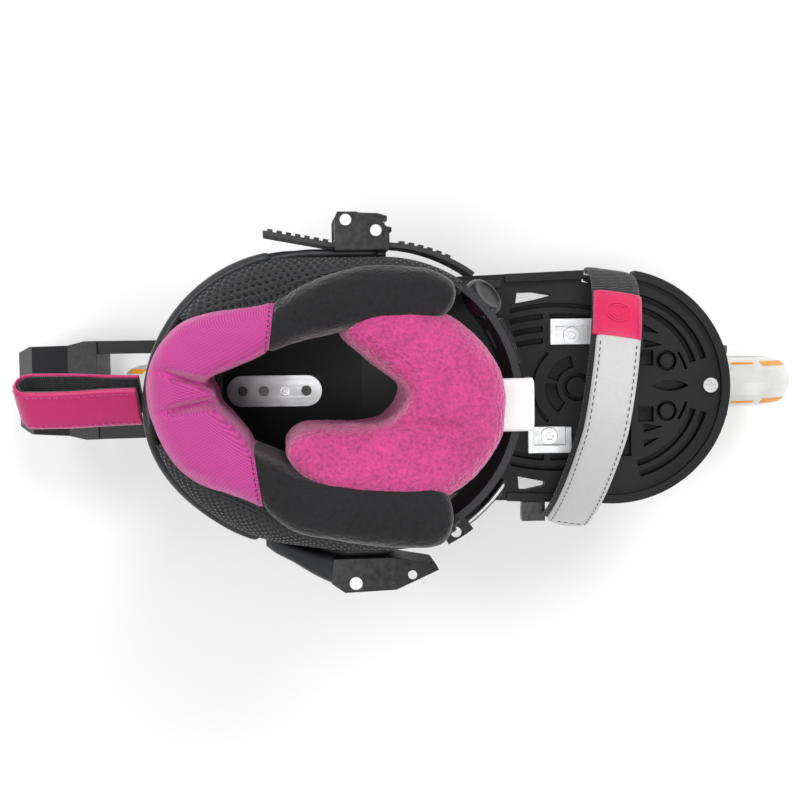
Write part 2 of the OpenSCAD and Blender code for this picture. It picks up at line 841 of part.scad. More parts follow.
sole_plate();
heel_cup();
cup_lining();
foot_bed();
heel_plate();
heel_bolt();
left_bracket();
right_bracket();
bracket_bolts();
toe_screw();
frame_rails();
axle_bolts();
axle_screws();
bearing_inner_rings();
bearing_spacers();
brake_housing();
brake_pad();
brake_bolt();
strap_bar();
strap_keeper();
ankle_pivots();
tyre(0);  // tyre_1
tyre(1);  // tyre_2
tyre(2);  // tyre_3
tyre(3);  // tyre_4
hub(0);  // hub_1
hub(1);  // hub_2
hub(2);  // hub_3
hub(3);  // hub_4
bearings(0);  // bearings_1
bearings(1);  // bearings_2
bearings(2);  // bearings_3
bearings(3);  // bearings_4
cuff_shell();
mesh_panel();
fleece_collar();
heel_pad();
front_pad();
pull_loop();
front_guard();
leaf_plate();
strap_knob();
front_tab();
strap_anchor();
anchor_screws();
ladder_strap();
buckle_base();
buckle_pins();
instep_buckle_base();
instep_pin();
buckle_lever();
ratchet_pawl();
instep_lever();
toe_webbing();
toe_leather();
toe_patch();
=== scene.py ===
import json
import math

import bpy
import bmesh
import numpy as np
from mathutils import Matrix, Vector
from mathutils.bvhtree import BVHTree
from mathutils.noise import noise as perlin


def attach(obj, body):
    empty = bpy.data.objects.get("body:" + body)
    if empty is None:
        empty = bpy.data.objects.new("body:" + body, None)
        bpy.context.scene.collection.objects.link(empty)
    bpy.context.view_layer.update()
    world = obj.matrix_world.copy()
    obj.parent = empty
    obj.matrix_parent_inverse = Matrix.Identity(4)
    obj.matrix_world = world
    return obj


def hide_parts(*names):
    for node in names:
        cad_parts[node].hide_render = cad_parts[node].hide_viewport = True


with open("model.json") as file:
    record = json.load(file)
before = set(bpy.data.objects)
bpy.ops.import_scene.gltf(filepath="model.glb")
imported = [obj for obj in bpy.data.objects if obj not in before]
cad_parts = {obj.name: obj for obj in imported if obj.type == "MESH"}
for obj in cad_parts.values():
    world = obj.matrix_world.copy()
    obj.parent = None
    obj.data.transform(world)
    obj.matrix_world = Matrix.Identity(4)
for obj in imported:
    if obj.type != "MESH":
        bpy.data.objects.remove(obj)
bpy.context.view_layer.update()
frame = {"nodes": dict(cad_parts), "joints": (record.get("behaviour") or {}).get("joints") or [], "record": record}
MM = 0.001

joints = {j["name"]: j for j in frame["joints"]}
ankle = Vector(joints["cuff_flex"]["pos_m"])
cuff_up = Vector(joints["cuff_lever_open"]["axis"]).normalized()
cuff_fore = Vector((cuff_up.z, 0, -cuff_up.x))
cuff_left = Vector((0, 1, 0))
toe_axis = -Vector(joints["toe_strap_open"]["axis"]).normalized()
toe_left = Vector((-toe_axis.y, toe_axis.x, 0))

# Plan of the cuff, in millimetres: two half circles about these places, joined by straight sides
CUFF_REAR, CUFF_FRONT = -16.3, 14.0
PLAN_R = 50.0
# The shell's rim, the toe strap's arch and flatter tail, and the tyres
RIM_W = 84
ARCH_Z, ARCH_R, ARCH_END, TAIL_R = 100, 54, 120, 90
TAIL_CENTRE = (18, 68.8)
BAR_Y, BAR_Z = 52, 98
TYRE_R, TYRE_HALF, TYRE_CROWN = 42, 12, 30


def on_cuff(u, v, w):
    """A point given in millimetres forward, left and up from the ankle, along the leaned cuff."""
    return ankle + (cuff_fore * u + cuff_left * v + cuff_up * w) * MM


# Camera, light and floor

def make_camera():
    height, left, tilt, yaw = 0.712, 0.025, -2.82, -0.77
    data = bpy.data.cameras.new("camera")
    data.sensor_width = 36
    data.lens = 58.5
    data.clip_start = 0.01
    camera = bpy.data.objects.new("camera", data)
    bpy.context.scene.collection.objects.link(camera)
    camera.location = (-0.0013, left, height)
    turn = Matrix.Rotation(math.radians(yaw), 4, "Z") @ Matrix.Rotation(math.radians(tilt), 4, "X")
    camera.rotation_euler = turn.to_euler()
    bpy.context.scene.camera = camera


def make_light(name, place, size, power, aim=(0, 0, 0.1)):
    data = bpy.data.lights.new(name, "AREA")
    data.shape = "DISK"
    data.size = size
    data.energy = power
    light = bpy.data.objects.new(name, data)
    bpy.context.scene.collection.objects.link(light)
    light.location = place
    light.rotation_euler = (Vector(aim) - Vector(place)).to_track_quat("-Z", "Y").to_euler()


def make_studio():
    make_light("key", (0.5, 0.9, 1.5), 0.7, 11)
    make_light("top", (-0.15, -0.1, 2.1), 0.6, 13)
    make_light("fill", (-0.9, -0.7, 1.2), 1.1, 4.5)
    make_light("rear", (-0.7, 0.9, 0.7), 0.7, 3.5)
    make_light("front", (1.1, -0.5, 0.6), 0.8, 3.5)
    world = bpy.data.worlds.new("studio")
    world.use_nodes = True
    world.node_tree.nodes["Background"].inputs["Color"].default_value = (1, 1, 1, 1)
    world.node_tree.nodes["Background"].inputs["Strength"].default_value = 0.45
    bpy.context.scene.world = world
    bpy.context.scene.view_settings.view_transform = "Standard"
    mesh = bpy.data.meshes.new("floor")
    mesh.from_pydata([(-6, -6, 0), (6, -6, 0), (6, 6, 0), (-6, 6, 0)], [], [(0, 1, 2, 3)])
    floor = bpy.data.objects.new("floor", mesh)
    bpy.context.scene.collection.objects.link(floor)
    floor.data.materials.append(plain("floor_paper", (0.95, 0.95, 0.95), 0.9))


# Materials

def new_material(name):
    material = bpy.data.materials.new(name)
    material.use_nodes = True
    nodes = material.node_tree.nodes
    return material, nodes, material.node_tree.links, nodes["Principled BSDF"]


def set_input(node, name, value):
    if name in node.inputs:
        node.inputs[name].default_value = value


def colour(rgb):
    return (rgb[0], rgb[1], rgb[2], 1)


def plain(name, rgb, rough):
    material, _, _, shader = new_material(name)
    set_input(shader, "Base Color", colour(rgb))
    set_input(shader, "Roughness", rough)
    return material


def coordinates(nodes, links, scale=(1, 1, 1), turn=(0, 0, 0)):
    where = nodes.new("ShaderNodeTexCoord")
    mapping = nodes.new("ShaderNodeMapping")
    mapping.inputs["Scale"].default_value = scale
    mapping.inputs["Rotation"].default_value = turn
    links.new(where.outputs["Object"], mapping.inputs["Vector"])
    return mapping.outputs["Vector"]


def noise(nodes, links, vector, scale, detail=3, rough=0.5):
    node = nodes.new("ShaderNodeTexNoise")
    node.inputs["Scale"].default_value = scale
    node.inputs["Detail"].default_value = detail
    node.inputs["Roughness"].default_value = rough
    links.new(vector, node.inputs["Vector"])
    return node.outputs["Fac"]


def cells(nodes, links, vector, scale):
    node = nodes.new("ShaderNodeTexVoronoi")
    node.inputs["Scale"].default_value = scale
    links.new(vector, node.inputs["Vector"])
    return node.outputs["Distance"]


def bands(nodes, links, vector, scale, direction="X", distortion=0.0):
    node = nodes.new("ShaderNodeTexWave")
    node.bands_direction = direction
    node.inputs["Scale"].default_value = scale
    node.inputs["Distortion"].default_value = distortion
    node.inputs["Detail"].default_value = 1
    links.new(vector, node.inputs["Vector"])
    return node.outputs["Fac"]


def math_node(nodes, links, operation, a, b):
    node = nodes.new("ShaderNodeMath")
    node.operation = operation
    for socket, value in zip(node.inputs, (a, b)):
        if isinstance(value, (int, float)):
            socket.default_value = value
        else:
            links.new(value, socket)
    return node.outputs["Value"]


def ramp(nodes, links, factor, stops):
    node = nodes.new("ShaderNodeValToRGB")
    node.color_ramp.elements[0].position = stops[0][0]
    node.color_ramp.elements[0].color = colour(stops[0][1])
    node.color_ramp.elements[1].position = stops[-1][0]
    node.color_ramp.elements[1].color = colour(stops[-1][1])
    for place, rgb in stops[1:-1]:
        node.color_ramp.elements.new(place).color = colour(rgb)
    links.new(factor, node.inputs["Fac"])
    return node.outputs["Color"]


def spread(nodes, links, factor, low, high):
    node = nodes.new("ShaderNodeMapRange")
    node.inputs["To Min"].default_value = low
    node.inputs["To Max"].default_value = high
    links.new(factor, node.inputs["Value"])
    return node.outputs["Result"]


def bump(nodes, links, height, strength, distance, normal=None):
    node = nodes.new("ShaderNodeBump")
    node.inputs["Strength"].default_value = strength
    node.inputs["Distance"].default_value = distance
    links.new(height, node.inputs["Height"])
    if normal is not None:
        links.new(normal, node.inputs["Normal"])
    return node.outputs["Normal"]


def shade(rgb, k):
    return tuple(min(1, c * k) for c in rgb)


def moulded(name, rgb, rough, grain=900, depth=0.00012, vary=0.25, edge=0.0004,
             gloss=0.3):
    """Moulded plastic or rubber: a fine spark-eroded grain, faint flow marks and softened edges."""
    material, nodes, links, shader = new_material(name)
    at = coordinates(nodes, links)
    broad = noise(nodes, links, at, 45, 4)
    fine = noise(nodes, links, at, grain, 2)
    links.new(ramp(nodes, links, broad, [(0.3, shade(rgb, 1 - vary)), (0.7, shade(rgb, 1 + vary))]),
              shader.inputs["Base Color"])
    links.new(spread(nodes, links, fine, rough - 0.1, rough + 0.12), shader.inputs["Roughness"])
    set_input(shader, "Specular IOR Level", gloss)
    soft = nodes.new("ShaderNodeBevel")
    soft.samples = 4
    soft.inputs["Radius"].default_value = edge
    links.new(bump(nodes, links, fine, 0.35, depth, soft.outputs["Normal"]), shader.inputs["Normal"])
    return material


def metal(name, rgb, rough, stretch=(40, 900, 900), edge=0.0003, metallic=1.0):
    """Brushed or plated metal: fine drawn lines, faint blotches and bright softened edges."""
    material, nodes, links, shader = new_material(name)
    lines = noise(nodes, links, coordinates(nodes, links, stretch), 1, 3)
    blotch = noise(nodes, links, coordinates(nodes, links), 160, 3)
    links.new(ramp(nodes, links, blotch, [(0.3, shade(rgb, 0.85)), (0.7, shade(rgb, 1.08))]),
              shader.inputs["Base Color"])
    set_input(shader, "Metallic", metallic)
    links.new(spread(nodes, links, lines, rough - 0.08, rough + 0.14), shader.inputs["Roughness"])
    soft = nodes.new("ShaderNodeBevel")
    soft.samples = 4
    soft.inputs["Radius"].default_value = edge
    links.new(bump(nodes, links, lines, 0.25, 0.00006, soft.outputs["Normal"]), shader.inputs["Normal"])
    return material


def fabric(name, rgb, sheen, height_of, strength, distance, contrast=0.35, rough=0.85, tint=(1, 1, 1)):
    """A woven, knitted or piled fabric whose surface height is made by height_of(nodes, links)."""
    material, nodes, links, shader = new_material(name)
    height = height_of(nodes, links)
    broad = noise(nodes, links, coordinates(nodes, links), 28, 3)
    # Painted shade and painted highlight: the colour follows the surface height, darker in the low parts and
    # lighter on the high parts, mixed with broad random tone
    relief_shade_and_tone = math_node(nodes, links, "ADD", math_node(nodes, links, "MULTIPLY", height, 0.65),
                      math_node(nodes, links, "MULTIPLY", broad, 0.35))
    links.new(ramp(nodes, links, relief_shade_and_tone, [(0.2, shade(rgb, 1 - contrast)), (0.5, rgb),
                                        (0.85, shade(rgb, 1 + contrast))]), shader.inputs["Base Color"])
    set_input(shader, "Roughness", rough)
    set_input(shader, "Sheen Weight", sheen)
    set_input(shader, "Sheen Roughness", 0.4)
    set_input(shader, "Sheen Tint", colour(tint))
    links.new(bump(nodes, links, height, strength, distance), shader.inputs["Normal"])
    return material


def knit_height(nodes, links):
    at = coordinates(nodes, links, turn=(0, math.radians(38), math.radians(-38)))
    ribs = bands(nodes, links, at, 520, "X", 0.6)
    loops = bands(nodes, links, at, 330, "Y", 0.8)
    return math_node(nodes, links, "ADD", math_node(nodes, links, "MULTIPLY", ribs, 0.7),
                     math_node(nodes, links, "MULTIPLY", loops, 0.3))


def plush_height(nodes, links):
    at = coordinates(nodes, links)
    tufts = noise(nodes, links, at, 760, 2, 0.5)
    clumps = noise(nodes, links, at, 190, 3, 0.6)
    return math_node(nodes, links, "ADD", math_node(nodes, links, "MULTIPLY", tufts, 0.75),
                     math_node(nodes, links, "MULTIPLY", clumps, 0.25))


def fleece_height(nodes, links):
    at = coordinates(nodes, links)
    return noise(nodes, links, at, 620, 3, 0.6)


def weave_height(nodes, links):
    at = coordinates(nodes, links)
    across = bands(nodes, links, at, 420, "Y", 0.2)
    along = bands(nodes, links, at, 420, "X", 0.2)
    return math_node(nodes, links, "MULTIPLY", across, along)


def leather_height(nodes, links):
    at = coordinates(nodes, links)
    grain = cells(nodes, links, at, 1100)
    return math_node(nodes, links, "ADD", math_node(nodes, links, "MULTIPLY", grain, 0.7),
                     noise(nodes, links, at, 300, 3))


def leather(name, rgb, rough, contrast=0.12):
    return fabric(name, rgb, 0.15, leather_height, 0.25, 0.00015, contrast, rough)


def urethane(name):
    """Milky wheel urethane that lets some light in, with a faint moulded ripple."""
    material, nodes, links, shader = new_material(name)
    at = coordinates(nodes, links)
    cloud = noise(nodes, links, at, 60, 3)
    links.new(ramp(nodes, links, cloud, [(0.3, (0.68, 0.68, 0.65)), (0.7, (0.78, 0.78, 0.75))]),
              shader.inputs["Base Color"])
    set_input(shader, "Roughness", 0.28)
    set_input(shader, "Subsurface Weight", 0.35)
    set_input(shader, "Subsurface Radius", (0.006, 0.006, 0.005))
    set_input(shader, "Transmission Weight", 0.12)
    set_input(shader, "Coat Weight", 0.25)
    links.new(bump(nodes, links, noise(nodes, links, at, 240, 2), 0.12, 0.0001), shader.inputs["Normal"])
    return material


MATERIALS = {
    "platform_plastic": moulded("platform_plastic", (0.012, 0.012, 0.013), 0.5, depth=0.0002, gloss=0.2),
    "shell_plastic": moulded("shell_plastic", (0.027, 0.028, 0.031), 0.36, vary=0.1),
    "frame_plastic": moulded("frame_plastic", (0.012, 0.012, 0.014), 0.42),
    "buckle_plastic": moulded("buckle_plastic", (0.008, 0.008, 0.009), 0.22, 500, 0.00004, 0.1, 0.0005, 0.5),
    "strap_plastic": moulded("strap_plastic", (0.02, 0.02, 0.022), 0.4),
    "white_plastic": moulded("white_plastic", (0.86, 0.86, 0.86), 0.35, 700, 0.00005, 0.03),
    "hub_plastic": moulded("hub_plastic", (0.85, 0.85, 0.84), 0.3, 700, 0.00005, 0.03),
    "bed_rubber": moulded("bed_rubber", (0.014, 0.014, 0.015), 0.75, 700, 0.0003),
    "brake_rubber": moulded("brake_rubber", (0.012, 0.012, 0.012), 0.8, 500, 0.0004),
    "plate_aluminium": metal("plate_aluminium", (0.64, 0.65, 0.66), 0.4, metallic=0.75),
    "bolt_steel": metal("bolt_steel", (0.6, 0.6, 0.61), 0.32, (300, 300, 300), metallic=0.8),
    "bearing_steel": metal("bearing_steel", (0.72, 0.72, 0.74), 0.18, (300, 300, 300)),
    "wheel_urethane": urethane("wheel_urethane"),
    "mesh_fabric": fabric("mesh_fabric", (0.022, 0.022, 0.025), 0.3, weave_height, 0.5, 0.0003, 0.4, 0.7),
    "fleece_fabric": fabric("fleece_fabric", (0.0075, 0.0075, 0.009), 0.3, fleece_height, 0.9, 0.0007, 0.9,
                            0.95),
    "lining_foam": fabric("lining_foam", (0.006, 0.006, 0.007), 0.1, weave_height, 0.4, 0.0003, 0.4, 0.9),
    "knit_fabric": fabric("knit_fabric", (0.5, 0.045, 0.26), 0.45, knit_height, 0.7, 0.0004, 0.32, 0.8,
                          (1, 0.75, 0.88)),
    "plush_fabric": fabric("plush_fabric", (0.52, 0.05, 0.21), 0.7, plush_height, 1.0, 0.0014, 0.65, 0.95,
                           (1, 0.6, 0.8)),
    "webbing_fabric": fabric("webbing_fabric", (0.012, 0.012, 0.013), 0.3, weave_height, 0.7, 0.0004, 0.5,
                             0.75),
    "pink_leather": leather("pink_leather", (0.46, 0.011, 0.12), 0.42),
    "grey_leather": leather("grey_leather", (0.52, 0.52, 0.52), 0.55, 0.06),
}
PATCH_LEATHER = leather("patch_leather", (0.62, 0.006, 0.085), 0.4)
PRINT_INK = moulded("print_ink", (0.75, 0.3, 0.02), 0.4, 700, 0.00004, 0.15, 0.0001)
slot_of = {row["node"]: row["material_slot"] for row in frame["record"]["subparts"]}
for node_name, node_object in frame["nodes"].items():
    node_object.data.materials.clear()
    node_object.data.materials.append(MATERIALS[slot_of[node_name]])

# Mesh tools

def add_mesh(name, points, faces, slot, body, smooth=True):
    mesh = bpy.data.meshes.new(name)
    mesh.from_pydata([tuple(p) for p in points], [], faces)
    mesh.validate()
    work = bmesh.new()
    work.from_mesh(mesh)
    bmesh.ops.recalc_face_normals(work, faces=work.faces)
    work.to_mesh(mesh)
    work.free()
    mesh.polygons.foreach_set("use_smooth", [smooth] * len(mesh.polygons))
    piece = bpy.data.objects.new(name, mesh)
    bpy.context.scene.collection.objects.link(piece)
    piece.data.materials.append(MATERIALS[slot])
    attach(piece, body)
    return piece


def loft(rings, closed=False):
    """Quads between neighbouring rings of points, with flat ends unless the loft is closed on itself."""
    n = len(rings[0])
    points = [p for ring in rings for p in ring]
    faces = []
    for i in range(len(rings) if closed else len(rings) - 1):
        a, b = i * n, (i + 1) % len(rings) * n
        faces += [(a + k, a + (k + 1) % n, b + (k + 1) % n, b + k) for k in range(n)]
    if not closed:
        faces += [tuple(range(n)), tuple(range(len(points) - n, len(points)))]
    return points, faces


def smooth_line(knots, count):
    """Points evenly spread in parameter along a Catmull-Rom curve through the knots."""
    knots = np.array(knots, float)
    ends = np.vstack([2 * knots[0] - knots[1], knots, 2 * knots[-1] - knots[-2]])
    found = []
    for t in np.linspace(0, len(knots) - 1, count):
        i = min(int(t), len(knots) - 2)
        f = t - i
        p0, p1, p2, p3 = ends[i:i + 4]
        found.append(0.5 * (2 * p1 + (p2 - p0) * f + (2 * p0 - 5 * p1 + 4 * p2 - p3) * f ** 2
                            + (3 * p1 - p0 - 3 * p2 + p3) * f ** 3))
    return np.array(found)


def step(x, low, high):
    t = min(1, max(0, (x - low) / (high - low)))
    return t * t * (3 - 2 * t)


def pinch(x, centre, width):
    """1 at the centre of a groove, falling smoothly to 0 at its width."""
    return math.exp(-((x - centre) / width) ** 2)


def signed_power(x, power):
    return math.copysign(abs(x) ** power, x)


def stadium(length, r, rear=CUFF_REAR, front=CUFF_FRONT):
    """A point and outward normal on the plan, length millimetres from the rear centre, left positive."""
    side = 1 if length >= 0 else -1
    quarter = math.pi / 2 * PLAN_R
    far = abs(length)
    if far <= quarter:
        angle = math.pi - far / PLAN_R
        centre = rear
    elif far <= quarter + front - rear:
        return (rear + far - quarter, side * r), (0, side)
    else:
        angle = math.pi / 2 - (far - quarter - front + rear) / PLAN_R
        centre = front
    normal = (math.cos(angle), side * math.sin(angle))
    return (centre + r * normal[0], r * normal[1]), normal


def plan_sheet(name, lengths, low, high, radius, slot, rows, thick):
    """A curved sheet that follows the cuff's plan between low(length) and high(length)."""
    points = []
    for length in lengths:
        for j in range(rows + 1):
            w = low(length) + (high(length) - low(length)) * j / rows
            place, _ = stadium(length, radius(length, w))
            points.append(on_cuff(place[0], place[1], w))
    n = rows + 1
    faces = [(i * n + j, (i + 1) * n + j, (i + 1) * n + j + 1, i * n + j + 1)
             for i in range(len(lengths) - 1) for j in range(rows)]
    piece = add_mesh(name, points, faces, slot, "cuff")
    solid = piece.modifiers.new("solid", "SOLIDIFY")
    solid.thickness = thick * MM
    solid.offset = 1
    solid.use_even_offset = True
    return piece


def strip_sections(path, across, width, thick, crown=0.0, round_end=0.0):
    """Rings of a flat strap along a path of (point, outward normal), across being its width direction."""
    rings = []
    steps = [(b[0] - a[0]).length for a, b in zip(path, path[1:])]
    run = np.concatenate([[0], np.cumsum(steps)])
    for i, (point, normal) in enumerate(path):
        left = (run[-1] - run[i]) / MM
        half = width / 2
        if round_end and left < round_end:
            arc = math.sqrt(max(0.02, 1 - (1 - left / round_end) ** 2))
            half *= arc * 0.45 + 0.55 * min(1, left / 2 + 0.6)
        ring = []
        for k in range(17):
            x = -1 + k / 8
            top = thick * (0.5 + 0.5 * (1 - abs(x) ** 8)) + crown * (1 - x * x)
            ring.append(point + (across * half * x + normal * top) * MM)
        for k in range(17):
            x = 1 - k / 8
            ring.append(point + across * half * x * MM)
        rings.append(ring)
    return rings


def stitch_row(points, normals, slot, name, body, gap=3.2, long=2.0, thin=0.28):
    """A row of thread stitches: short rounded bars laid along a line of points."""
    run = [0.0]
    for a, b in zip(points, points[1:]):
        run.append(run[-1] + (b - a).length / MM)
    made, faces = [], []
    place = gap / 2
    while place + long < run[-1]:
        ends = []
        for target in (place, place + long):
            i = max(j for j in range(len(run) - 1) if run[j] <= target)
            f = (target - run[i]) / max(run[i + 1] - run[i], 1e-6)
            ends.append(points[i].lerp(points[i + 1], f))
            normal = normals[i]
        ahead = (ends[1] - ends[0]).normalized()
        side = ahead.cross(normal).normalized()
        rings = []
        for f, size in ((0, 0.35), (0.15, 0.9), (0.5, 1.1), (0.85, 0.9), (1, 0.35)):
            middle = ends[0].lerp(ends[1], f) + normal * thin * 0.4 * MM
            rings.append([middle + (side * math.cos(a) + normal * math.sin(a)) * thin * size * MM
                          for a in (k * math.pi / 3 for k in range(6))])
        points_here, faces_here = loft(rings)
        base = len(made)
        made += points_here
        faces += [tuple(base + k for k in face) for face in faces_here]
        place += gap
    return add_mesh(name, made, faces, slot, body)


# Soft parts of the cuff

def in_cuff(point):
    """Millimetres forward, left and up from the ankle, along the leaned cuff."""
    away = (Vector(point) - ankle) / MM
    return [away.dot(cuff_fore), away.dot(cuff_left), away.dot(cuff_up)]


def from_axis(u, v):
    """Distance from the middle line of the cuff's plan, and the nearest place on that line."""
    near = min(CUFF_FRONT, max(CUFF_REAR, u))
    return math.hypot(u - near, v), near


def hold_inside(spot, low_r, high_r, low=84.0, high=88.0):
    """Keeps a soft part inside the shell below its rim, and lets it bulge above the rim."""
    r, near = from_axis(spot[0], spot[1])
    limit = low_r + (high_r - low_r) * step(spot[2], low, high)
    if r > limit:
        spot[0] = near + (spot[0] - near) * limit / r
        spot[1] *= limit / r
    return spot


def apply_modifiers(piece):
    graph = bpy.context.evaluated_depsgraph_get()
    mesh = bpy.data.meshes.new_from_object(piece.evaluated_get(graph))
    old = piece.data
    piece.modifiers.clear()
    piece.data = mesh
    bpy.data.meshes.remove(old)
    piece.data.polygons.foreach_set("use_smooth", [True] * len(piece.data.polygons))


def refine(piece, levels):
    soft = piece.modifiers.new("refine", "SUBSURF")
    soft.levels = levels
    soft.render_levels = levels
    apply_modifiers(piece)


def read_all(mesh, what):
    """Every point's place, "co", or its "normal", as rows of three numbers."""
    values = np.empty(len(mesh.vertices) * 3)
    if what == "co":
        mesh.vertices.foreach_get("co", values)
    else:
        mesh.vertex_normals.foreach_get("vector", values)
    return values.reshape(-1, 3)


def puff(piece, voxel, cap, pinned_below, pressure=4.0):
    """Swells a stuffed part by cloth simulation, capped in millimetres, and leaves a plain mesh."""
    grid = piece.modifiers.new("grid", "REMESH")
    grid.mode = "VOXEL"
    grid.voxel_size = voxel * MM
    apply_modifiers(piece)
    start = read_all(piece.data, "co")
    held = piece.vertex_groups.new(name="held")
    held.add([i for i, p in enumerate(start) if in_cuff(p)[2] < pinned_below], 1.0, "REPLACE")
    cloth = piece.modifiers.new("cloth", "CLOTH")
    cloth.settings.quality = 5
    cloth.settings.mass = 0.15
    cloth.settings.use_pressure = True
    cloth.settings.uniform_pressure_force = pressure
    cloth.settings.vertex_group_mass = "held"
    cloth.settings.effector_weights.gravity = 0
    cloth.point_cache.frame_start = 1
    cloth.point_cache.frame_end = 20
    for frame_number in range(1, 21):
        bpy.context.scene.frame_set(frame_number)
    graph = bpy.context.evaluated_depsgraph_get()
    swollen = piece.evaluated_get(graph).to_mesh()
    moved = read_all(swollen, "co") - start
    piece.modifiers.remove(cloth)
    far = np.linalg.norm(moved, axis=1, keepdims=True)
    moved *= np.minimum(1, cap * MM / np.maximum(far, 1e-9))
    piece.data.vertices.foreach_set("co", (start + moved).ravel())
    piece.vertex_groups.clear()
    bpy.context.scene.frame_set(1)
    piece.data.update()


def sculpt(piece, move):
    """Moves every point of a cuff part by a function of its place and normal in cuff millimetres."""
    axes = np.array([cuff_fore, cuff_left, cuff_up])
    spots = (read_all(piece.data, "co") - np.array(ankle)) @ axes.T / MM
    normals = read_all(piece.data, "normal") @ axes.T
    moved = np.array([move(list(spot), normal) for spot, normal in zip(spots, normals)])
    piece.data.vertices.foreach_set("co", (moved * MM @ axes + np.array(ankle)).ravel())
    piece.data.update()


def rumple(point, size, seed):
    """Smooth repeatable noise from -1 to 1 whose lumps are size millimetres wide."""
    return perlin(Vector((point[0] / size + seed, point[1] / size, point[2] / size)))


def plush_folds(spot, normal):
    """A crease crosses the pad where it turns the corner, and the pile stands up in fine tufts."""
    u, v, w = spot
    line = -6.3 - 0.055 * (u - 18.7)
    crease = pinch(v, line, 1.8) * step(u, 12, 20) * (1 - step(u, 34, 44)) * step(w, 70, 96)
    lump = 0.28 * rumple(spot, 1.3, 5) + 0.5 * rumple(spot, 9, 1)
    w -= 2.2 * crease
    return [u + normal[0] * lump, v + normal[1] * lump, w + normal[2] * lump]


def plan_length(u, v):
    """How far round the plan a place lies from the rear centre, in millimetres at PLAN_R, left positive."""
    quarter = math.pi / 2 * PLAN_R
    if u < CUFF_REAR:
        far = (math.pi - math.atan2(abs(v), u - CUFF_REAR)) * PLAN_R
    elif u > CUFF_FRONT:
        far = quarter + CUFF_FRONT - CUFF_REAR + (math.pi / 2 - math.atan2(abs(v), u - CUFF_FRONT)) * PLAN_R
    else:
        far = quarter + u - CUFF_REAR
    return math.copysign(far, v)


def cushion(name, stations, slot, crown_out, crown_in, end, count=150, low_r=52.3, high_r=55.8, power=0.75):
    """A stuffed band with a crowned top.
    A station is (outer forward, outer left, inner forward, inner left, bottom, top) in millimetres."""
    line = smooth_line(stations, count)
    middle = (line[:, :2] + line[:, 2:4]) / 2
    run = np.concatenate([[0], np.cumsum(np.linalg.norm(np.diff(middle, axis=0), axis=1))])
    arcs = [math.pi * k / 16 for k in range(17)]
    walls = [k / 12 for k in range(1, 12)]
    rings = []
    for i, (uo, vo, ui, vi, low, high) in enumerate(line):
        half = np.array([uo - ui, vo - vi]) / 2
        near = min(run[i], run[-1] - run[i])
        close = math.sqrt(max(0.0, 1 - (1 - min(1, near / end)) ** 2))
        wide = 0.6 + 0.4 * close
        top = high - 0.3 * crown_in * (1 - close)
        profile = []
        for a in arcs:
            crown = crown_out if a < math.pi / 2 else crown_in
            profile.append((wide * signed_power(math.cos(a), power),
                            top - crown + crown * math.sin(a) ** power))
        profile += [(-wide, top - crown_in - (top - crown_in - low) * f) for f in walls]
        profile += [(wide * x, low) for x in (-0.8, -0.3, 0.3, 0.8)]
        profile += [(wide, low + (top - crown_out - low) * f) for f in walls]
        ring = []
        for across, w in profile:
            place = middle[i] + half * across
            ring.append(on_cuff(*hold_inside([place[0], place[1], w], low_r, high_r)))
        rings.append(ring)
    points, faces = loft(rings)
    return add_mesh(name, points, faces, slot, "cuff")


# The collar's stations run from its left front end round the heel to its right front end, and the front
# pad's from its left end round the front to its right end
COLLAR = [(41, 44, 37.5, 33, 34, 104), (29, 49.5, 28, 31, 28, 106), (9.5, 50.5, 9.5, 29, 24, 107),
          (-2.5, 48, 0, 28, 24, 107), (-15, 43, -12, 25.5, 24, 106.5), (-26, 36.5, -27.5, 21, 24, 105.5),
          (-38, 34.5, -36, 17, 24, 106), (-51.5, 33, -45, 13.5, 24, 107), (-59, 30.5, -50, 11.5, 24, 107.5),
          (-67, 22, -52, 9.5, 24, 108), (-70.5, 12.5, -49.5, 7.5, 24, 108), (-71, 5, -47.5, 5, 24, 108),
          (-70, -2, -47.5, 2, 24, 108), (-67.5, -9, -46.5, -0.5, 24, 108), (-64, -15.5, -43.5, -3, 24, 108),
          (-59, -21.5, -40.5, -6.5, 24, 107.5), (-50, -27, -37, -10.5, 24, 107),
          (-40, -30.5, -34.5, -14, 24, 106), (-30.5, -35, -32.5, -17, 24, 105),
          (-24, -41, -25, -20, 24, 105.5), (-15.5, -45.5, -15, -24.5, 24, 106),
          (-3.5, -48, -3, -27, 24, 107), (9, -50, 8, -28.5, 24, 107), (25, -52, 22, -29, 26, 107),
          (33.5, -51, 31, -29.5, 30, 106), (38, -46.5, 37.5, -33, 34, 104)]
PLUSH = [(-0.5, 27.5, -0.5, 25.5, 40, 102), (10, 36.5, 6.5, 19.5, 40, 105), (17, 38.5, 14.5, 13, 40, 106),
         (26.5, 37, 19.5, 9, 40, 106), (38.5, 32, 23, 6.5, 40, 106), (46.5, 26, 23.5, 4.5, 40, 106),
         (54.5, 16, 23, 3, 40, 106), (58.5, 5, 22, 1, 40, 106), (58.5, -2, 21, -1, 40, 106),
         (57, -13, 19.5, -3, 40, 106), (51, -22, 17.5, -5, 40, 106), (44, -29, 15.5, -7, 40, 106),
         (34.5, -34.5, 11.5, -7.5, 40, 106), (18, -35, 6, -8, 40, 106), (7.5, -34, 0, -8, 40, 106),
         (-3.5, -32.5, -7, -8, 40, 105.5), (-11, -29.5, -14, -8, 40, 105), (-18, -24, -19, -10.5, 40, 104),
         (-22, -18.5, -22, -14.5, 40, 102.5)]
# Each seam of the collar: a place on it, and the level direction that it faces, towards the heel
SEAMS = [((-26.5, 28.5), (-1, 0.13)), ((-32, -25), (-1, -0.15))]


def seam_distance(k, u, v):
    (su, sv), (nu, nv) = SEAMS[k]
    return ((u - su) * nu + (v - sv) * nv) / math.hypot(nu, nv)


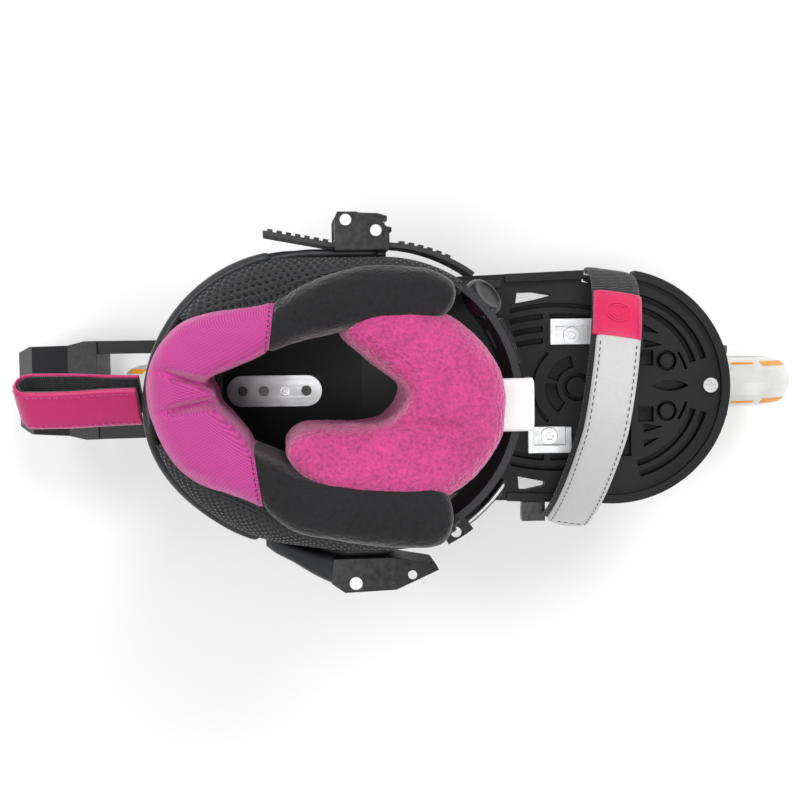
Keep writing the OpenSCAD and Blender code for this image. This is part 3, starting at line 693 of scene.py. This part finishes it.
def collar_folds(spot, normal):
    """The heel's two creases with a lower tongue between them, the grooves at the seams, and soft lumps."""
    u, v, w = spot
    inward = step(u, -69, -55)
    crease_left = 12.9 - 0.3 * (u + 62)
    crease_right = 0.1 + 0.14 * (u + 62)
    on_top = step(w, 70, 98)
    rear = (1 - step(u, -45, -38)) * (1 - step(v, 16, 22))
    crease = (pinch(v, crease_left, 1.5) + pinch(v, crease_right, 1.5)) * rear * on_top * inward
    tongue = step(v, crease_right - 0.5, crease_right + 1.5)
    tongue *= 1 - step(v, crease_left - 1.5, crease_left + 0.5)
    drop = 5.0 * rear * on_top * tongue * step(u, -64, -50)
    seam = pinch(seam_distance(0 if v > 0 else 1, u, v), 0, 0.9)
    lump = 0.55 * rumple(spot, 15, 3) + 0.14 * rumple(spot, 4.5, 8) - 0.8 * seam
    return [u + normal[0] * lump, v + normal[1] * lump, w + normal[2] * lump - 6.5 * crease - drop]


def cut_part(source, name, slot, cuts):
    """A copy of the part of a closed mesh that lies behind every cut, with its open ends filled.
    A cut is (place, direction, side) in the scene's space; side 1 or -1 cuts only that side of the cuff."""
    work = bmesh.new()
    work.from_mesh(source.data)
    for place, direction, side in cuts:
        verts = [v for v in work.verts if not side or v.co.y * side > -0.001]
        near = set(verts)
        edges = [e for e in work.edges if e.verts[0] in near and e.verts[1] in near]
        sides = [f for f in work.faces if all(v in near for v in f.verts)]
        cut = bmesh.ops.bisect_plane(work, geom=verts + edges + sides, dist=1e-6,
                                     plane_co=place, plane_no=direction, clear_outer=True)
        rim = [e for e in cut["geom_cut"] if isinstance(e, bmesh.types.BMEdge)]
        bmesh.ops.holes_fill(work, edges=rim, sides=0)
    mesh = bpy.data.meshes.new(name)
    work.to_mesh(mesh)
    work.free()
    mesh.polygons.foreach_set("use_smooth", [len(p.vertices) < 5 for p in mesh.polygons])
    piece = bpy.data.objects.new(name, mesh)
    bpy.context.scene.collection.objects.link(piece)
    piece.data.materials.clear()
    piece.data.materials.append(MATERIALS[slot])
    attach(piece, "cuff")
    return piece


def make_collar():
    """One stuffed band makes the whole collar, then it is cut at its two seams into knit and fleece."""
    whole = cushion("heel_cushion_whole", COLLAR, "knit_fabric", 12, 7, 2.5, 240, 52.2, 55.6)
    puff(whole, 2.5, 0.9, 60)
    refine(whole, 2)
    sculpt(whole, collar_folds)
    planes = []
    for (u, v), (nu, nv) in SEAMS:
        towards_heel = cuff_fore * nu + cuff_left * nv
        planes.append((on_cuff(u, v, 60), towards_heel.normalized()))
    (left_seam, left_way), (right_seam, right_way) = planes
    middle = on_cuff(0, 0, 60)
    heel = cut_part(whole, "heel_cushion", "knit_fabric",
                    [(left_seam, -left_way, 1), (right_seam, -right_way, -1)])
    left = cut_part(whole, "fleece_left", "fleece_fabric",
                    [(left_seam, left_way, 0), (middle, -cuff_left, 0)])
    right = cut_part(whole, "fleece_right", "fleece_fabric",
                     [(right_seam, right_way, 0), (middle, cuff_left, 0)])
    mesh = whole.data
    bpy.data.objects.remove(whole)
    bpy.data.meshes.remove(mesh)
    make_seam("seam_left", heel, 0, 1)
    make_seam("seam_right", heel, 1, 1)
    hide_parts("heel_pad")
    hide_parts("fleece_collar")


def make_seam(name, piece, k, side):
    """Dark stitches over the collar's crown, laid on the knit just behind a seam."""
    (su, sv), (nu, nv) = SEAMS[k]
    size = math.hypot(nu, nv)
    tree = BVHTree.FromObject(piece, bpy.context.evaluated_depsgraph_get())
    points, normals = [], []
    for across in np.linspace(-9.5, 9.5, 60):
        u = su + (1.3 * nu - across * nv * side) / size
        v = sv + (1.3 * nv + across * nu * side) / size
        spot, normal, _, _ = tree.ray_cast(on_cuff(u, v, 125), -cuff_up)
        if spot is not None:
            points.append(spot)
            normals.append(normal)
    if len(points) > 10:
        stitch_row(points, normals, "fleece_fabric", name, "cuff", 2.0, 1.1, 0.2)


def make_plush_pad():
    pad = cushion("front_cushion", PLUSH, "plush_fabric", 15, 8, 3.0, 170, 52.3, 52.3, 0.85)
    puff(pad, 2.7, 0.9, 70)
    refine(pad, 2)
    sculpt(pad, plush_folds)
    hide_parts("front_pad")


def rim_height(along):
    """Height of the shell's rim: level on the left, with a dip behind the strap anchor on the right."""
    if along > 0:
        return RIM_W - 4 * step(along, 60, 80)
    return RIM_W - 32 * step(-along, 4, 50) + 28 * step(-along, 72, 96)


collar_edge = sorted((plan_length(p[0], p[1]), from_axis(p[0], p[1])[0]) for p in smooth_line(COLLAR, 200))


def mesh_place(along, drop, sink):
    """A place on the mesh band, drop millimetres down from where it meets the collar."""
    r_in = float(np.interp(along, [e[0] for e in collar_edge], [e[1] for e in collar_edge])) - 2.2
    w_in, r_out, w_out = 96.0, 54.3, rim_height(along) - 0.5
    r_in = min(r_in, r_out - 0.4)
    slope = math.hypot(r_out - r_in, w_in - w_out)
    f = min(1, drop / slope)
    extra = max(0, drop - slope)
    r = r_in + (r_out - r_in) * math.sin(f * math.pi / 2) ** 0.8 - 1.7 * min(1, extra / 5)
    w = w_in + (w_out - w_in) * (1 - math.cos(f * math.pi / 2)) - extra
    place, _ = stadium(along, r - sink)
    return place[0], place[1], w, slope


def make_honeycomb(name, side, start, stop):
    """Sewn spacer mesh: every cell is a six-sided ridge round a sunken pocket."""
    pitch = 2.8
    row = pitch * math.sqrt(3) / 2
    points, faces, seen = [], [], {}

    def corner(along, drop, sink):
        key = (round(along, 2), round(drop, 2), sink)
        if key not in seen:
            seen[key] = len(points)
            points.append(on_cuff(*mesh_place(side * along, drop, sink)[:3]))
        return seen[key]

    for i in range(int((stop - start) / pitch)):
        slope = mesh_place(side * (start + i * pitch), 0, 0)[3]
        reach = slope + 6 + 40 * step(start + i * pitch, 100, 110)
        for j in range(int(reach / row)):
            along = start + (i + 0.5 * (j % 2)) * pitch
            drop = 0.8 + j * row
            rings = []
            for size, sink in ((1, 0.0), (0.8, -0.1), (0.62, 0.9)):
                radius = pitch / math.sqrt(3) * size
                turns = [k * math.pi / 3 for k in range(6)]
                rings.append([corner(along + radius * math.sin(a), max(0, drop + radius * math.cos(a)), sink)
                              for a in turns])
            for outer, inner in zip(rings, rings[1:]):
                faces += [(outer[k], outer[(k + 1) % 6], inner[(k + 1) % 6], inner[k]) for k in range(6)]
    band = add_mesh(name, points, faces, "mesh_fabric", "cuff", smooth=False)
    solid = band.modifiers.new("solid", "SOLIDIFY")
    solid.thickness = 0.9 * MM
    solid.offset = -1
    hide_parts("mesh_panel")


def make_backing(name, side, start, stop):
    """The dark foam that shows through the mesh."""
    lengths = np.linspace(start, stop, 100)
    points = []
    for along in lengths:
        reach = mesh_place(side * along, 0, 0)[3] + 5 + 40 * step(along, 100, 110)
        points += [on_cuff(*mesh_place(side * along, 0.6 + reach * f, 1.7)[:3])
                   for f in np.linspace(0, 1, 31)]
    faces = [(i * 31 + j, (i + 1) * 31 + j, (i + 1) * 31 + j + 1, i * 31 + j + 1)
             for i in range(len(lengths) - 1) for j in range(30)]
    sheet = add_mesh(name, points, faces, "lining_foam", "cuff")
    solid = sheet.modifiers.new("solid", "SOLIDIFY")
    solid.thickness = 0.8 * MM
    solid.offset = -1


# Shell of the cuff

def bead(name, path, radius, slot, body, tall=1.0):
    """A rounded rim: a tube of elliptical section along (point, outward normal) pairs, closed at its ends."""
    rings = []
    n = len(path)
    for i, (point, normal) in enumerate(path):
        ahead = (path[min(i + 1, n - 1)][0] - path[max(i - 1, 0)][0]).normalized()
        up = ahead.cross(normal).normalized()
        close = math.sqrt(max(0.04, 1 - max(0, 1 - min(i, n - 1 - i) / 3) ** 2))
        rings.append([point + (normal * math.cos(a) + up * math.sin(a) * tall) * radius * close * MM
                      for a in (2 * math.pi * k / 12 for k in range(12))])
    points, faces = loft(rings)
    return add_mesh(name, points, faces, slot, body)


def shell_path(lengths, radius, height):
    path = []
    for along in lengths:
        place, normal = stadium(along, radius(along))
        outward = (cuff_fore * normal[0] + cuff_left * normal[1]).normalized()
        path.append((on_cuff(place[0], place[1], height(along)), outward))
    return path


def shell_low(along):
    u = stadium(along, 56)[0][0]
    return float(np.interp(u, (-80, -48, -12, 10, 18), (-2, -8, -13, -10, 4)))


def make_shell():
    """A rear panel and two side panels, each with a rounded rim, and the edges where they meet."""
    def rear_radius(_, w):
        return 53.3 + 0.9 * step(w, 60, RIM_W)

    def side_radius(along, w):
        return 53.3 + 1.0 * step(w, 50, 80) - 0.3 * (1 - step(abs(along), 62, 74))

    for name, start, stop, count, radius, thick in (("rear", -64, 70, 110, rear_radius, 2.7),
                                                    ("left", 66, 111, 44, side_radius, 2.6),
                                                    ("right", -111, -60, 48, side_radius, 2.6)):
        panel = plan_sheet(f"shell_{name}", np.linspace(start, stop, count), shell_low,
                           lambda a: rim_height(a) - 1, radius, "shell_plastic", 34, thick)
        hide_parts("cuff_shell")
    for name, start, stop, count, radius, below, thick in (
            ("rear", -64, 70, 150, lambda a: 55.2, 0.9, 2.2),
            ("left", 68, 108, 50, lambda a: 54.6 + 1.2 * step(a, 70, RIM_W), 0.6, 1.6),
            ("right", -111, -66, 50, lambda a: 55.4, 0.6, 1.6)):
        path = shell_path(np.linspace(start, stop, count), radius,
                          lambda a, below=below: rim_height(a) - below)
        bead(f"rim_{name}", path, thick, "shell_plastic", "cuff", 1.1)
    for name, along in (("left", 69.5), ("right", -69.5)):
        (u, v), normal = stadium(along, 56.3)
        outward = (cuff_fore * normal[0] + cuff_left * normal[1]).normalized()
        path = [(on_cuff(u, v, w), outward) for w in np.linspace(4, rim_height(along) - 2, 40)]
        bead(f"shell_edge_{name}", path, 0.9, "shell_plastic", "cuff")


def make_anchor_tail():
    """The tapered arm that joins the strap anchor to the shell behind it."""
    sections = [(-4, -56.2, -67.5, 66, 85), (-12, -55.4, -64.4, 60, 79), (-20, -53.8, -60.4, 54, 72),
                (-26, -52.2, -58, 50, 66), (-30, -51.4, -55.6, 48, 61)]
    line = smooth_line(sections, 30)
    rings = []
    for u, v_in, v_out, low, high in line:
        middle, half_v = (v_in + v_out) / 2, abs(v_out - v_in) / 2
        centre, half_w = (low + high) / 2, (high - low) / 2
        rings.append([on_cuff(u, middle + half_v * signed_power(math.cos(a), 0.4),
                              centre + half_w * signed_power(math.sin(a), 0.4))
                      for a in (2 * math.pi * k / 28 for k in range(28))])
    points, faces = loft(rings)
    add_mesh("anchor_tail", points, faces, "shell_plastic", "cuff")


# Toe strap

toe_bar = Vector(joints["toe_strap_open"]["pos_m"])
UP = Vector((0, 0, 1))


def toe_line(start, stop, count, lift=0.0, shift=0.0):
    """The toe strap's line: an arch and then a flatter tail, whose end slips a little to the rear."""
    path = []
    for a in np.linspace(start, stop, count):
        turn = math.radians(a)
        centre, radius = ((0, ARCH_Z), ARCH_R) if a <= ARCH_END else (TAIL_CENTRE, TAIL_R)
        y = centre[0] + (radius + lift) * math.cos(turn)
        z = centre[1] + (radius + lift) * math.sin(turn)
        slip = 5 * (max(0, a - 108) / 47) ** 1.2
        spot = toe_bar + (toe_left * (y - BAR_Y) + UP * (z - BAR_Z) + toe_axis * (shift - slip)) * MM
        path.append((spot, toe_left * math.cos(turn) + UP * math.sin(turn)))
    return path


def eye_line(radius, start, stop, count):
    path = []
    for a in np.linspace(start, stop, count):
        turn = math.radians(a)
        normal = toe_left * math.cos(turn) + UP * math.sin(turn)
        path.append((toe_bar + normal * radius * MM, normal))
    return path


def ribbed(path, pitch, depth):
    """The same line with a small wave in its height, as webbing has."""
    run, out = 0.0, []
    for i, (point, normal) in enumerate(path):
        if i:
            run += (point - path[i - 1][0]).length / MM
        out.append((point + normal * depth * math.cos(2 * math.pi * run / pitch) * MM, normal))
    return out


def make_strip(name, path, across, width, thick, slot, body, **more):
    points, faces = loft(strip_sections(path, across, width, thick, **more))
    return add_mesh(name, points, faces, slot, body)


def ring_mesh(name, centre, normal, across, radius, thin, slot, body):
    """A plain embossed ring."""
    other = normal.cross(across).normalized()
    rings = []
    for k in range(48):
        a = 2 * math.pi * k / 48
        away = across * math.cos(a) + other * math.sin(a)
        rings.append([centre + (away * (radius + thin * math.cos(b)) + normal * thin * math.sin(b)) * MM
                      for b in (2 * math.pi * j / 8 for j in range(8))])
    points, faces = loft(rings, closed=True)
    return add_mesh(name, points, faces, slot, body)


def make_toe_strap():
    ride = "toe_strap"
    straight = [(toe_bar + (toe_left * (2.1 - 0.8 * f) + UP * 3 * f) * MM, toe_left)
                for f in np.linspace(0.25, 1, 6)]
    webbing = ribbed(eye_line(2.4, 120, 352, 60) + straight + toe_line(2, 154, 900, -0.7), 1.5, 0.12)
    band = make_strip("toe_webbing_band", webbing, toe_axis, 21.5, 1.4, "webbing_fabric", ride, round_end=3)
    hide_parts("toe_webbing")
    band = make_strip("toe_leather_band", toe_line(63, 155, 150, 0.7, 1.1), toe_axis, 19.3, 1.6,
                      "grey_leather", ride, crown=0.25, round_end=5)
    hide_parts("toe_leather")
    patch = make_strip("toe_patch_band", toe_line(40, 65, 60, 0.7, 0.2), toe_axis, 21.3, 2.0,
                       "pink_leather", ride, crown=0.3)
    patch.data.materials[0] = PATCH_LEATHER
    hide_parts("toe_patch")
    for side in (-1, 1):
        stitch_row(*zip(*toe_line(66.5, 153, 150, 2.45, 1.1 + side * 7.9)), "webbing_fabric",
                   f"leather_stitch_{side + 2}", ride, 3.0, 1.9, 0.2)
        stitch_row(*zip(*toe_line(41.4, 63.6, 40, 2.8, 0.2 + side * 9.2)), "knit_fabric",
                   f"patch_stitch_{side + 2}", ride, 1.9, 1.2, 0.17)

    def cross_stitches(name, a, lift, shift, reach, slot, size):
        spot, normal = toe_line(a, a, 1, lift, shift)[0]
        row = [spot + toe_axis * x * MM for x in np.linspace(-reach, reach, 20)]
        stitch_row(row, [normal] * len(row), slot, name, ride, *size)

    for k, a in enumerate((41.6, 63.4)):
        cross_stitches(f"patch_seam_{k + 1}", a, 2.85, 0.2, 9, "knit_fabric", (1.9, 1.2, 0.17))
    spot, normal = toe_line(52.5, 52.5, 1, 2.95, 0.2)[0]
    for k, radius in enumerate((5.2, 3.7, 2.0)):
        ring = ring_mesh(f"patch_ring_{k + 1}", spot, normal, toe_axis, radius, 0.3, "pink_leather", ride)
        ring.data.materials[0] = PATCH_LEATHER
    cross_stitches("leather_seam_end", 152.2, 2.5, 1.1, 6.5, "webbing_fabric", (3.0, 1.9, 0.2))


# Pull loop

def make_pull_loop():
    """A strap folded back on itself: leather outside, ribbed webbing inside."""
    start = Vector((-142.9, 2.6, 232.4)) * MM
    loop_length, half_gap, bend = 45.5, 5, 6
    fore = Vector((1, 0, 0))
    lean = math.radians(50)
    wide = Vector((0, math.sin(lean), math.cos(lean)))
    thin = Vector((0, math.cos(lean), -math.sin(lean)))

    def loop_line(lift):
        path = []
        for x in np.linspace(loop_length, bend, 40):
            path.append((x, half_gap + lift - 1.6 * step(x, 14, 45), thin))
        for a in np.linspace(math.pi / 2, 3 * math.pi / 2, 40)[1:-1]:
            path.append((bend + (half_gap + lift) * math.cos(a), (half_gap + lift) * math.sin(a),
                         fore * math.cos(a) + thin * math.sin(a)))
        for x in np.linspace(bend, loop_length, 40):
            path.append((x, -half_gap - lift + 1.6 * step(x, 14, 45), -thin))
        return [(start + (fore * x + thin * y) * MM, normal.normalized()) for x, y, normal in path]

    outer = make_strip("loop_leather", loop_line(-0.2), wide, 18, 1.2, "pink_leather", "cuff", crown=0.2)
    inner = make_strip("loop_webbing", ribbed(loop_line(-1.3), 1.4, 0.1), wide, 17, 1.1,
                       "webbing_fabric", "cuff")
    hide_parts("pull_loop")
    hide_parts("pull_loop")
    for side in (-1, 1):
        row = [(p + wide * side * 7.3 * MM, n) for p, n in loop_line(1.15)]
        stitch_row([p for p, _ in row], [n for _, n in row], "knit_fabric", f"loop_stitch_{side + 2}", "cuff",
                   2.6, 1.7, 0.2)


# Small plastic parts of the front

def turned(name, centre, axis, across, profile, slot, body, tall=1.0):
    """A round part made by turning (height, radius) steps about an axis."""
    other = axis.cross(across).normalized()
    rings = [[centre + (axis * h + (across * math.cos(a) * tall + other * math.sin(a)) * r) * MM
              for a in (2 * math.pi * k / 48 for k in range(48))] for h, r in profile]
    points, faces = loft(rings)
    return add_mesh(name, points, faces, slot, body)


def front_frame(angle, r, w):
    turn = math.radians(angle)
    outward = (cuff_fore * math.cos(turn) + cuff_left * math.sin(turn)).normalized()
    along = (cuff_left * math.cos(turn) - cuff_fore * math.sin(turn)).normalized()
    return on_cuff(CUFF_FRONT + r * math.cos(turn), r * math.sin(turn), w), outward, along


def make_knob():
    centre, outward, _ = front_frame(43, 55.6, 56.5)
    axis = (outward + cuff_up * 0.85).normalized()
    across = (cuff_up - axis * cuff_up.dot(axis)).normalized()
    profile = [(-2, 6.4), (-1.5, 7.6), (1.0, 8.2), (2.6, 8.3), (4.0, 8.0), (5.0, 7.4), (5.5, 6.7), (5.6, 6.0),
               (5.3, 5.4), (5.1, 4.8), (5.05, 2.4), (5.05, 0.3)]
    knob = turned("knob_round", centre, axis, across, profile, "buckle_plastic", "cuff", 0.92)
    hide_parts("strap_knob")


def make_lever_edge():
    """The bright edge along the top of the instep buckle's lever."""
    path = []
    for angle in np.linspace(-58.5, -34, 40):
        spot, outward, _ = front_frame(angle, 60.2, 57.5)
        path.append((spot, outward))
    bead("lever_edge", path, 0.7, "bolt_steel", "instep_release", 0.7)


def make_tab():
    """A white plate that lies under the pad and bends down in front of the guard."""
    def spot(r, w):
        return on_cuff(CUFF_FRONT + r, -2.1, w)

    path = [(spot(r, 67.2), cuff_up) for r in np.linspace(47.5, 57, 14)]
    for a in np.linspace(80, 10, 8):
        turn = math.radians(a)
        path.append((spot(57.2 + 2 * math.cos(turn), 65.2 + 2 * math.sin(turn)),
                     cuff_fore * math.cos(turn) + cuff_up * math.sin(turn)))
    path += [(spot(59.2, w), cuff_fore) for w in np.linspace(65, 49, 24)]
    tab = make_strip("tab_plate", path, cuff_left, 20.5, 1.4, "white_plastic", "cuff", round_end=6)
    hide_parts("front_tab")


# Lining of the heel cup

def make_cup_lining():
    """Quilted foam: crossing grooves press into the lining's inner face."""
    cup_rear, cup_front, floor = -42.0, 30.0, 104.6
    outer_r, inner_r, quilt, groove_deep = 46.1, 42.5, 13, 1.1
    rings = []
    for along in np.linspace(-138, 138, 200):
        x = stadium(along, 42, cup_rear, cup_front)[0][0]
        top = float(np.interp(x, (-92, -50, -10, 20, 30), (134.5, 137.6, 137.6, 119.6, 105)))
        high = top - 4 - floor
        profile = [(outer_r, floor + high * f) for f in np.linspace(0, 1, 10)]
        profile += [(44.4 + 1.7 * math.cos(a), top - 2 + 1.8 * math.sin(a)) for a in np.linspace(0.3, 2.8, 7)]
        for f in np.linspace(1, 0, 26):
            z = floor + high * f
            groove = max(pinch((along + way * z) % quilt - quilt / 2, 0, 0.8) for way in (1, -1))
            profile.append((inner_r + groove_deep * groove, z))
        ring = []
        for r, z in profile:
            place, _ = stadium(along, r, cup_rear, cup_front)
            ring.append(Vector((place[0], place[1], z)) * MM)
        rings.append(ring)
    points, faces = loft(rings)
    lining = add_mesh("cup_lining_quilt", points, faces, "lining_foam", "skate_base")
    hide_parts("cup_lining")


# Printed band on the wheels

def make_print(k):
    """Printed marks on each side of a tyre: three wide arcs, each followed by two short narrow ones."""
    hub = Vector(joints[f"wheel_{k}_spin"]["pos_m"])
    points, faces = [], []

    def arc(side, start, stop, low, high):
        base = len(points)
        count = max(6, int((stop - start) / 3))
        for turn in np.linspace(math.radians(start), math.radians(stop), count):
            for a in np.linspace(math.radians(low), math.radians(high), 5):
                for lift in (0.16, -0.2):
                    r = TYRE_CROWN + (TYRE_R - TYRE_CROWN + lift) * math.cos(a)
                    y = side * (TYRE_HALF + lift) * math.sin(a)
                    points.append(hub + Vector((r * math.cos(turn), y, r * math.sin(turn))) * MM)
        for i in range(count - 1):
            for j in range(4):
                p = base + i * 10 + j * 2
                faces.append((p, p + 2, p + 12, p + 10))
                faces.append((p + 1, p + 11, p + 13, p + 3))
            for p in (base + i * 10, base + i * 10 + 8):
                faces.append((p, p + 10, p + 11, p + 1))
        for i in (0, count - 1):
            for j in range(4):
                p = base + i * 10 + j * 2
                faces.append((p, p + 1, p + 3, p + 2))

    for side in (-1, 1):
        for third in range(3):
            arc(side, third * 120 + 12, third * 120 + 58, 42, 58)
            arc(side, third * 120 + 66, third * 120 + 84, 48, 55)
            arc(side, third * 120 + 90, third * 120 + 104, 48, 55)
    ink = add_mesh(f"print_{k}", points, faces, "wheel_urethane", f"wheel_{k}", smooth=False)
    ink.data.materials[0] = PRINT_INK


make_collar()
make_plush_pad()
make_honeycomb("mesh_left", 1, 34, 139)
make_honeycomb("mesh_right", -1, 14, 137)
make_backing("backing_left", 1, 30, 139)
make_backing("backing_right", -1, 10, 137)
make_shell()
make_anchor_tail()
make_toe_strap()
make_pull_loop()
make_knob()
make_tab()
make_lever_edge()
make_cup_lining()
for number in (1, 2, 3, 4):
    make_print(number)
make_camera()
make_studio()
